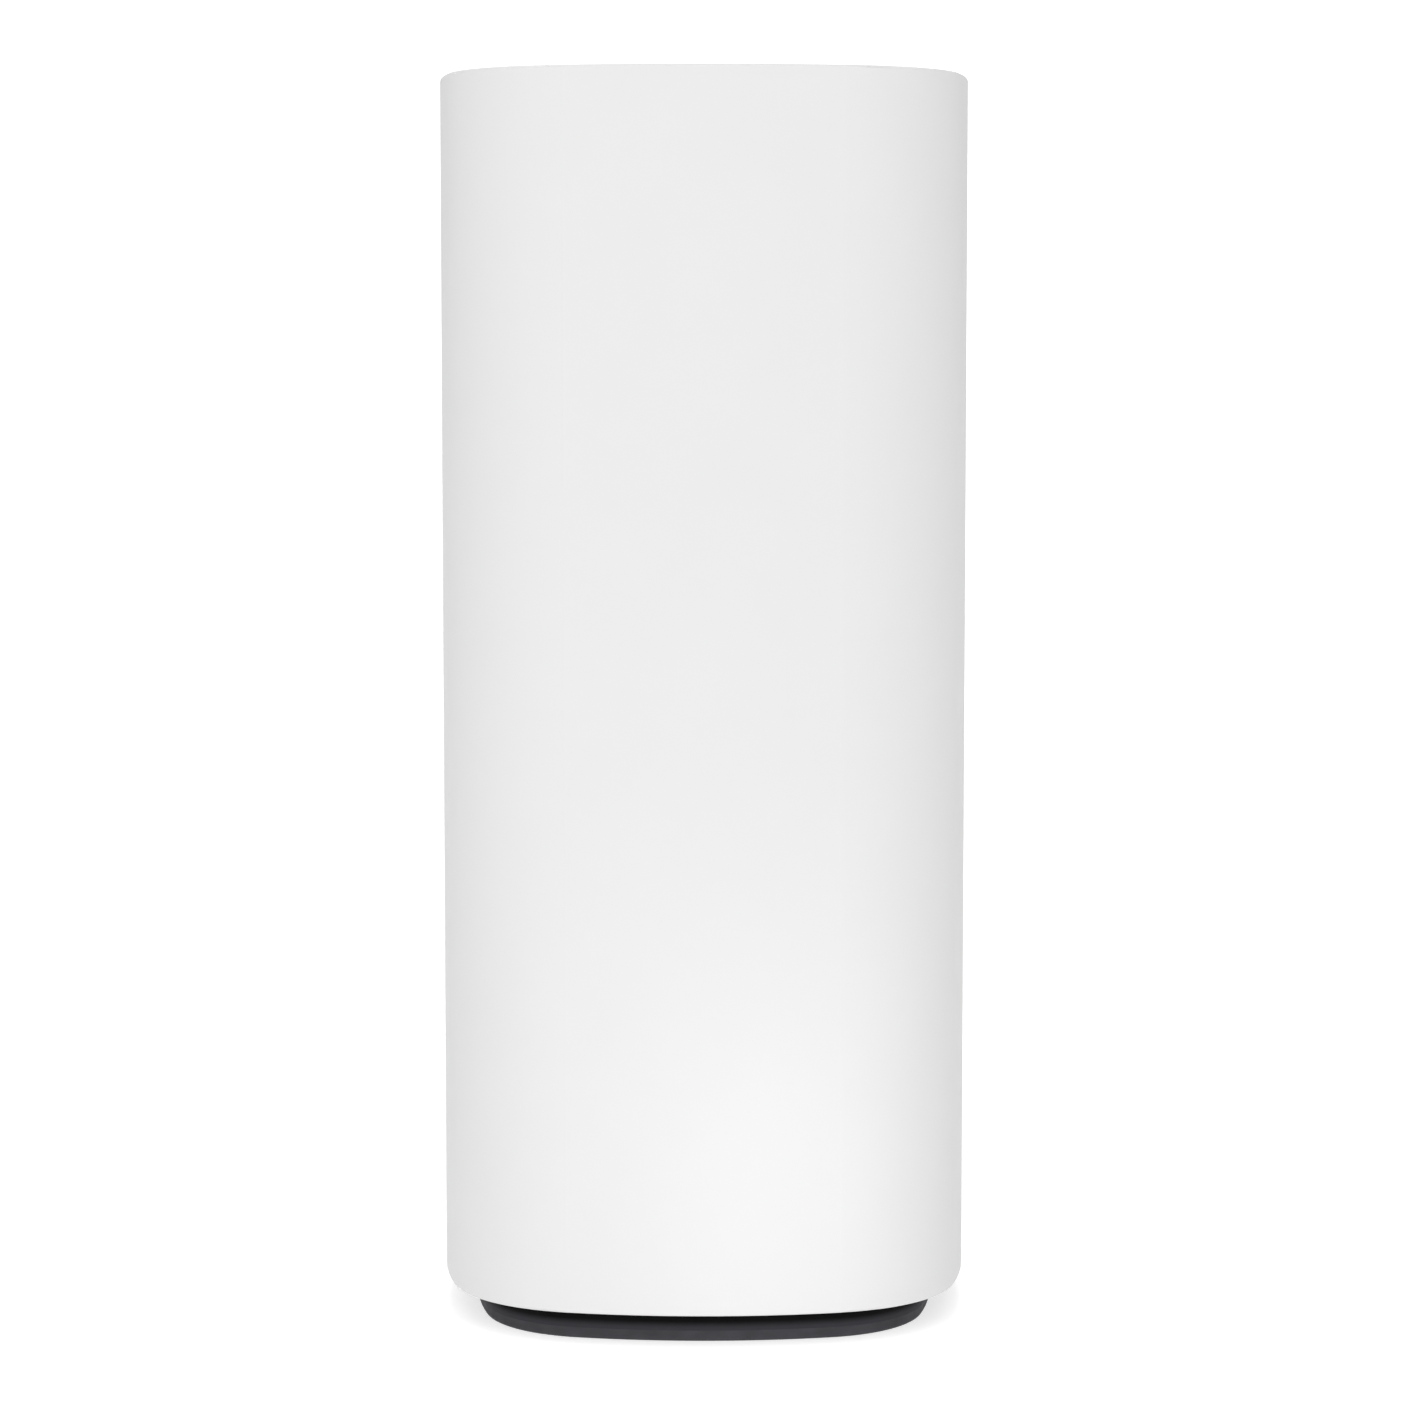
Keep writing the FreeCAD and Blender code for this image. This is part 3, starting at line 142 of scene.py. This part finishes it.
def moulded_plastic(name, colour, roughness=0.55, grain=0.35 * MM, depth=0.006 * MM,
                    specular=0.35, blotch=0.03):
    """Injection moulding from an eroded tool: a fine even grain and faint flow blotches."""
    material = new_material(name, colour, roughness, specular=specular)
    flow_marks = noise(material, feature=14 * MM)
    vary_colour(material, flow_marks, scaled(colour, 1 - blotch), scaled(colour, 1 + blotch))
    vary_roughness(material, feature=6 * MM, low=roughness - 0.05, high=roughness + 0.05)
    long_wave = add_bump(material, noise(material, feature=9 * MM, detail=1.0), depth=0.01 * MM)
    add_bump(material, noise(material, grain, detail=4.0), depth, below=long_wave)
    return material


def rubber(name, colour, roughness=0.75):
    material = new_material(name, colour, roughness, specular=0.3)
    vary_colour(material, noise(material, feature=3 * MM), scaled(colour, 0.85), scaled(colour, 1.15))
    vary_roughness(material, feature=1.5 * MM, low=roughness - 0.08, high=roughness + 0.08)
    add_bump(material, noise(material, feature=0.5 * MM, detail=5.0), depth=0.02 * MM)
    return material


def sheet_metal(name, colour, roughness):
    """Rolled or extruded metal, with upright streaks along the rolling direction."""
    material = new_material(name, colour, roughness, metallic=1.0)
    streaks = noise(material, feature=0.25 * MM, detail=3.0, stretch=(1.0, 1.0, 0.06))
    vary_colour(material, noise(material, feature=5 * MM), scaled(colour, 0.94), scaled(colour, 1.04))
    link(material, spread(material, streaks, low=roughness - 0.08, high=roughness + 0.12),
         shader_input(material, "Roughness"))
    add_bump(material, streaks, depth=0.004 * MM)
    return material


def plated(name, colour, roughness=0.2):
    material = new_material(name, colour, roughness, metallic=1.0)
    vary_roughness(material, feature=0.8 * MM, low=roughness - 0.06, high=roughness + 0.1)
    add_bump(material, noise(material, feature=0.4 * MM, detail=3.0), depth=0.003 * MM)
    return material


def circuit_board(name, colour):
    """Solder mask over tracks: short straight cells raised a little, and a glossy skin."""
    material = new_material(name, colour, roughness=0.3, specular=0.6)
    coordinates = add_node(material, "ShaderNodeTexCoord")
    mapping = add_node(material, "ShaderNodeMapping", Rotation=(0.0, math.pi / 2, 0.0))
    tracks = add_node(material, "ShaderNodeTexBrick", Scale=160.0, Mortar_Size=0.03)
    link(material, coordinates.outputs["Object"], mapping.inputs["Vector"])
    link(material, mapping.outputs["Vector"], tracks.inputs["Vector"])
    vary_colour(material, tracks.outputs["Fac"], colour, scaled(colour, 1.8))
    vary_roughness(material, feature=4 * MM, low=0.25, high=0.4)
    add_bump(material, tracks.outputs["Fac"], depth=0.03 * MM)
    return material


def clear_resin(name, colour, roughness=0.25):
    material = new_material(name, colour, roughness)
    shader_input(material, "Transmission Weight").default_value = 0.6
    vary_roughness(material, feature=1.0 * MM, low=roughness - 0.1, high=roughness + 0.1)
    add_bump(material, noise(material, feature=0.3 * MM), depth=0.004 * MM)
    return material


def make_materials():
    white = (0.70, 0.70, 0.70)
    base_tone = (0.0430, 0.0422, 0.0485)
    base_grey = moulded_plastic("base_grey", base_tone, roughness=0.65, specular=0.08, depth=0.01 * MM)
    # Painted shade: the base's colour goes nearly black towards its top, where it sits under the sleeve's
    # overhanging hem.
    darken_upwards(base_grey, base_tone, low=2.3 * MM, high=3.8 * MM)
    return {
        "shell_white": moulded_plastic("shell_white", white, roughness=0.62, specular=0.15, blotch=0.004),
        "panel_grey": moulded_plastic("panel_grey", (0.52, 0.52, 0.525), roughness=0.58, blotch=0.01),
        "base_grey": base_grey,
        # Painted light: the foot's colour is a little lighter than the base's, to make up for the shade it gets
        # near the floor.
        "foot_rubber": rubber("foot_rubber", (0.0490, 0.0482, 0.0550)),
        "label_film": moulded_plastic("label_film", (0.10, 0.10, 0.105), roughness=0.4, grain=0.8 * MM),
        "light_pipe": clear_resin("light_pipe", (0.85, 0.88, 0.90)),
        "frame_plastic": moulded_plastic("frame_plastic", (0.10, 0.10, 0.105), roughness=0.5),
        "board_green": circuit_board("board_green", (0.015, 0.09, 0.045)),
        "chip_black": moulded_plastic("chip_black", (0.02, 0.02, 0.021), roughness=0.45),
        "can_aluminium": sheet_metal("can_aluminium", (0.78, 0.79, 0.80), 0.3),
        "coil_grey": moulded_plastic("coil_grey", (0.06, 0.06, 0.065), roughness=0.6, grain=0.2 * MM),
        "contact_gold": plated("contact_gold", (0.95, 0.70, 0.30)),
        "contact_nickel": plated("contact_nickel", (0.74, 0.72, 0.68)),
        "led_white": clear_resin("led_white", (0.90, 0.90, 0.80), 0.15),
        "socket_black": moulded_plastic("socket_black", (0.018, 0.018, 0.019), roughness=0.42),
        "rocker_black": moulded_plastic("rocker_black", (0.016, 0.016, 0.017), roughness=0.3,
                                        depth=0.003 * MM),
        "connector_white": moulded_plastic("connector_white", (0.72, 0.68, 0.55), roughness=0.5),
        "wire_jacket": moulded_plastic("wire_jacket", (0.35, 0.02, 0.015), roughness=0.35),
        "button_grey": moulded_plastic("button_grey", (0.30, 0.30, 0.305), roughness=0.5, blotch=0.01),
        "sink_aluminium": sheet_metal("sink_aluminium", (0.72, 0.73, 0.74), 0.38),
        "pad_grey": rubber("pad_grey", (0.24, 0.27, 0.34)),
        "antenna_laminate": moulded_plastic("antenna_laminate", (0.42, 0.40, 0.26), roughness=0.4),
        "copper": plated("copper", (0.90, 0.50, 0.34), 0.3),
        "coax_black": rubber("coax_black", (0.02, 0.02, 0.02), 0.5),
        "screw_steel": plated("screw_steel", (0.62, 0.62, 0.63), 0.28),
        "shield_tin": sheet_metal("shield_tin", (0.74, 0.74, 0.71), 0.3),
        "wan_housing": moulded_plastic("wan_housing", (0.02, 0.07, 0.20), roughness=0.42),
        "lan_housing": moulded_plastic("lan_housing", (0.022, 0.022, 0.023), roughness=0.42),
        "jack_nickel": sheet_metal("jack_nickel", (0.70, 0.68, 0.63), 0.28),
    }


def dress_cad_nodes(materials):
    for part in frame["record"]["subparts"]:
        node = frame["nodes"][part["node"]]
        for number in range(len(node.material_slots)):
            node.material_slots[number].material = materials[part["material_slot"]]


# ---------------------------------------------------------------- printed and moulded details
def rounded_outline(half_width, half_height, radius, steps=6):
    """Points (across, up) round a rectangle with rounded corners."""
    points = []
    for corner, (side, end) in enumerate(((1, 1), (-1, 1), (-1, -1), (1, -1))):
        for step in range(steps):
            angle = math.radians(90 * corner + 90 * step / (steps - 1))
            points.append((side * (half_width - radius) + radius * math.cos(angle),
                           end * (half_height - radius) + radius * math.sin(angle)))
    return points


def circle(radius, sides=44):
    angles = [2 * math.pi * number / sides for number in range(sides)]
    return [(radius * math.cos(angle), radius * math.sin(angle)) for angle in angles]


def scaled_outline(points, scale):
    return [(across * scale, up * scale) for across, up in points]


def add_loop(shape, place, points, height):
    """A closed row of points; height is a number, or a function of the distance upwards."""
    level = height if callable(height) else lambda up: height
    return [shape.verts.new(place @ Vector((across, up, level(up)))) for across, up in points]


def bridge(shape, first, second):
    for number in range(len(first)):
        after = (number + 1) % len(first)
        shape.faces.new((first[number], first[after], second[after], second[number]))


def add_plug(shape, place, points, height):
    """A closed block that fills an outline up to height."""
    foot, top = add_loop(shape, place, points, 0.0), add_loop(shape, place, points, height)
    bridge(shape, foot, top)
    shape.faces.new(foot)
    shape.faces.new(top)


def add_lens(shape, place, points, thickness, crown):
    """A low pad with a domed top."""
    profile = ((1.0, 0.0), (1.0, thickness), (0.93, thickness + 0.45 * crown),
               (0.75, thickness + 0.8 * crown), (0.4, thickness + crown))
    loops = [add_loop(shape, place, scaled_outline(points, scale), height) for scale, height in profile]
    for lower, upper in zip(loops, loops[1:]):
        bridge(shape, lower, upper)
    shape.faces.new(loops[0])
    shape.faces.new(loops[-1])


def add_band(shape, place, outer, inner, height):
    """A ring or frame between two outlines."""
    loops = [add_loop(shape, place, points, level)
             for points, level in ((outer, 0.0), (outer, height), (inner, height), (inner, 0.0))]
    for first, second in zip(loops, loops[1:] + loops[:1]):
        bridge(shape, first, second)


def finish_piece(name, shape, material, body):
    bmesh.ops.recalc_face_normals(shape, faces=shape.faces)
    mesh = bpy.data.meshes.new(name)
    shape.to_mesh(mesh)
    shape.free()
    mesh.materials.append(material)
    piece = bpy.data.objects.new(name, mesh)
    bpy.context.collection.objects.link(piece)
    mesh.shade_smooth()
    mesh.set_sharp_from_angle(angle=math.radians(50))
    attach(piece, body)
    return piece


def facing_back(x, y, z):
    """A place on the rear panel: the piece's own Z looks out of the panel, its Y stays up."""
    turned_back = Matrix.Rotation(math.pi, 4, "Z") @ Matrix.Rotation(math.pi / 2, 4, "X")
    return Matrix.Translation((x, y, z)) @ turned_back


def socket_centres():
    """The middle of each network socket's mouth, from the record's mounts."""
    return [Vector(mount["pos_m"]) for mount in frame["record"]["mounts"]
            if mount["name"].startswith(("lan_plug", "wan_plug"))]


def make_socket_lamps():
    """Two lamp windows beside each socket's latch, one amber and one green."""
    lamp_x, lamp_offset, sunk = -5.45 * MM, 4.7 * MM, 0.1 * MM
    lens = rounded_outline(half_width=0.55 * MM, half_height=0.95 * MM, radius=0.25 * MM)
    for name, colour, side in (("amber", (0.62, 0.36, 0.08), 1), ("green", (0.20, 0.42, 0.12), -1)):
        shape = bmesh.new()
        for centre in socket_centres():
            place = facing_back(lamp_x, centre.y - sunk, centre.z + side * lamp_offset)
            add_lens(shape, place, lens, thickness=0.14 * MM, crown=0.12 * MM)
        piece = finish_piece("socket_lamps_" + name, shape, clear_resin("lamp_" + name, colour), "router")


def ink(name, colour):
    """Printed ink: matt and a little uneven."""
    material = new_material(name, colour, roughness=0.6, specular=0.3)
    thin_spots = noise(material, feature=0.15 * MM, detail=3.0)
    vary_colour(material, thin_spots, scaled(colour, 0.85), scaled(colour, 1.1))
    vary_roughness(material, feature=0.3 * MM, low=0.5, high=0.7)
    add_bump(material, noise(material, feature=0.08 * MM), depth=0.004 * MM)
    return material


def make_panel_print():
    """Ink on the raised marks beside the sockets: dots for the local ones, a ring for the outside line."""
    mark_x, mark_face, pitch, film = 9.6 * MM, 38.85 * MM, 1.8 * MM, 0.02 * MM
    dot, ring_outside, ring_inside = circle(0.44 * MM, sides=20), circle(1.14 * MM), circle(0.81 * MM)
    *local, outside = sorted(socket_centres(), key=lambda centre: centre.z)
    shape = bmesh.new()
    for count, centre in zip((3, 2, 1), local):
        for number in range(count):
            z = centre.z + (number - (count - 1) / 2) * pitch
            add_lens(shape, facing_back(mark_x, mark_face, z), dot, thickness=film, crown=film)
    add_band(shape, facing_back(mark_x, mark_face, outside.z), ring_outside, ring_inside, film)
    finish_piece("panel_print", shape, ink("ink_grey", (0.10, 0.10, 0.105)), "router")


def make_rocker_print():
    """White fill in the rocker's engraved line and circle, up to just below its V-shaped face."""
    joint = next(joint for joint in frame["joints"] if joint["name"] == "power_switch_tilt")
    rest_tilt = math.radians(-joint["range_deg"][1] / 2)
    radius, end_angle = 6.2 * MM, math.radians(22.8)
    end, end_z = radius * math.sin(end_angle), radius * math.cos(end_angle)
    valley, groove = end - 0.9 * MM, end - 0.75 * MM
    line_z, circle_z, below_face = 3.4 * MM, -3.4 * MM, 0.06 * MM

    def fill(middle):
        """The fill's height above the groove's floor, at each distance upwards from its middle."""
        return lambda up: valley + (end - valley) * abs(middle + up) / end_z - groove - below_face

    pivot = Matrix.Translation(joint["pos_m"]) @ Matrix.Rotation(rest_tilt, 4, "X")
    line = rounded_outline(half_width=0.26 * MM, half_height=1.01 * MM, radius=0.01 * MM, steps=2)
    ring_outside, ring_inside = circle(1.06 * MM), circle(0.59 * MM)
    shape = bmesh.new()
    add_plug(shape, pivot @ facing_back(0, groove, line_z), line, fill(line_z))
    add_band(shape, pivot @ facing_back(0, groove, circle_z), ring_outside, ring_inside, fill(circle_z))
    finish_piece("rocker_print", shape, ink("ink_white", (0.72, 0.72, 0.71)), "power_switch")


def make_label_print():
    """A plain frame and blank bars on the label underneath, where a real one has its text."""
    low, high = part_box("blank_label")
    middle = (low + high) / 2
    facing_down = Matrix.Rotation(math.pi, 4, "X")
    film, margin, line_width, frame_radius = 0.015 * MM, 1.5 * MM, 0.3 * MM, 1.5 * MM
    half_width, half_height = (high.x - low.x) / 2 - margin, (high.y - low.y) / 2 - margin
    shape = bmesh.new()
    add_band(shape, Matrix.Translation((middle.x, middle.y, low.z)) @ facing_down,
             rounded_outline(half_width, half_height, frame_radius),
             rounded_outline(half_width - line_width, half_height - line_width, frame_radius - line_width),
             film)
    left, first_row, pitch = middle.x - 14.0 * MM, middle.y - 5.4 * MM, 3.6 * MM
    bar_half_height, bar_radius = 0.6 * MM, 0.3 * MM
    for row, bar_half_width in enumerate((14.0 * MM, 11.0 * MM, 12.5 * MM, 7.0 * MM)):
        place = Matrix.Translation((left + bar_half_width, first_row + pitch * row, low.z)) @ facing_down
        add_plug(shape, place, rounded_outline(bar_half_width, bar_half_height, bar_radius), film)
    finish_piece("label_print", shape, ink("ink_label", (0.42, 0.42, 0.42)), "router")


# ---------------------------------------------------------------- stage
def make_floor():
    """A large white light table, a hair below the foot's own face."""
    below_foot = 0.02 * MM
    bpy.ops.mesh.primitive_plane_add(size=40.0, location=(0, 0, -below_foot))
    floor = bpy.context.object
    floor.name = "floor"
    material = new_material("floor_paper", (0.55, 0.55, 0.55), roughness=0.9, specular=0.0)
    vary_roughness(material, feature=50 * MM, low=0.85, high=0.95)
    shader_input(material, "Emission Color").default_value = (1, 1, 1, 1)
    shader_input(material, "Emission Strength").default_value = 0.66
    material.cycles.emission_sampling = "NONE"
    floor.data.materials.append(material)


def make_world(background, light):
    """A white background, and an even light from it that is weaker than it looks."""
    world = bpy.data.worlds.new("studio")
    world.use_nodes = True
    nodes = world.node_tree.nodes
    rays = nodes.new("ShaderNodeLightPath")
    strength = nodes.new("ShaderNodeMapRange")
    strength.inputs["To Min"].default_value = light
    strength.inputs["To Max"].default_value = background
    nodes["Background"].inputs["Color"].default_value = (1, 1, 1, 1)
    world.node_tree.links.new(rays.outputs["Is Camera Ray"], strength.inputs["Value"])
    world.node_tree.links.new(strength.outputs["Result"], nodes["Background"].inputs["Strength"])
    bpy.context.scene.world = world


def make_lamp(name, kind, energy, rotation, location=(0, 0, 1)):
    """A lamp that the camera doesn't see; where it stands matters only for an area lamp."""
    lamp = bpy.data.objects.new(name, bpy.data.lights.new(name, kind))
    lamp.data.energy = energy
    lamp.location = location
    lamp.rotation_euler = [math.radians(angle) for angle in rotation]
    lamp.visible_camera = False
    bpy.context.collection.objects.link(lamp)
    return lamp.data


def make_light():
    """Soft light from above the front and from behind, and a small fill low in front."""
    make_world(background=1.4, light=0.46)
    overhead = make_lamp("overhead_softbox", "SUN", energy=1.66, rotation=(40, 0, -6))
    overhead.angle = math.radians(70)
    rear = make_lamp("rear_softbox", "SUN", energy=1.0, rotation=(-30, 0, 0))
    rear.angle = math.radians(20)
    low_fill = make_lamp("low_fill", "AREA", energy=0.0049, rotation=(90, 0, 0),
                         location=(0.016, -0.1025, 0.027))
    low_fill.shape = "RECTANGLE"
    low_fill.size = 0.02
    low_fill.size_y = 0.052


def make_camera():
    """In front of the router on its centre line, looking down a little."""
    distance, height, pitch_down = 0.727, 0.1735, math.radians(5.109)
    camera = bpy.data.cameras.new("camera")
    camera.lens = 101.84
    camera.sensor_width = 36.0
    camera.clip_start = 0.01
    holder = bpy.data.objects.new("camera", camera)
    holder.location = (0, -distance, height)
    holder.rotation_euler = (math.pi / 2 - pitch_down, 0, 0)
    bpy.context.collection.objects.link(holder)
    bpy.context.scene.camera = holder


# ---------------------------------------------------------------- main
dress_cad_nodes(make_materials())
make_socket_lamps()
make_panel_print()
make_rocker_print()
make_label_print()
make_floor()
make_light()
make_camera()
bpy.context.scene.view_settings.view_transform = "Standard"
